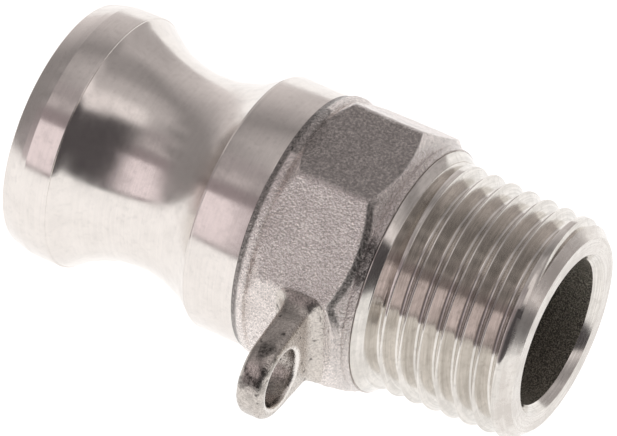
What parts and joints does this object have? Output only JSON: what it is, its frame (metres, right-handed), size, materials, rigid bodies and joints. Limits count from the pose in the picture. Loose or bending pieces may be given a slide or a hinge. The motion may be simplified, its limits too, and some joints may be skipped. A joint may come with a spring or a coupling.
{
  "type": "camlock coupling",
  "caption": "Male camlock adapter: cam-groove spigot, octagonal cast wrench body with a lanyard eye, and a male taper pipe thread around one straight flow bore.",
  "frame": {"origin": "centre of the flow bore at the nose face, the flat end face that seals on a coupler's gasket", "axes": "+X along the flow bore from the nose to the pipe-thread end; -Y towards the lanyard eye; +Z square to the upper wrench flat, so the fitting lies on its side"},
  "size_m": [0.0506, 0.0337, 0.0249],
  "materials": {
    "machined_spigot": "bright turned stainless steel",
    "cast_body": "as-cast stainless steel, shot-blasted, fine grain",
    "cut_thread": "bright turned stainless steel with cut thread"
  },
  "bodies": {
    "root": {"nose_land": "machined_spigot", "cam_groove": "machined_spigot", "stop_collar": "machined_spigot", "octagon_body": "cast_body", "lanyard_eye": "cast_body", "thread_shoulder": "cut_thread", "pipe_thread": "cut_thread"}
  },
  "joints": []
}
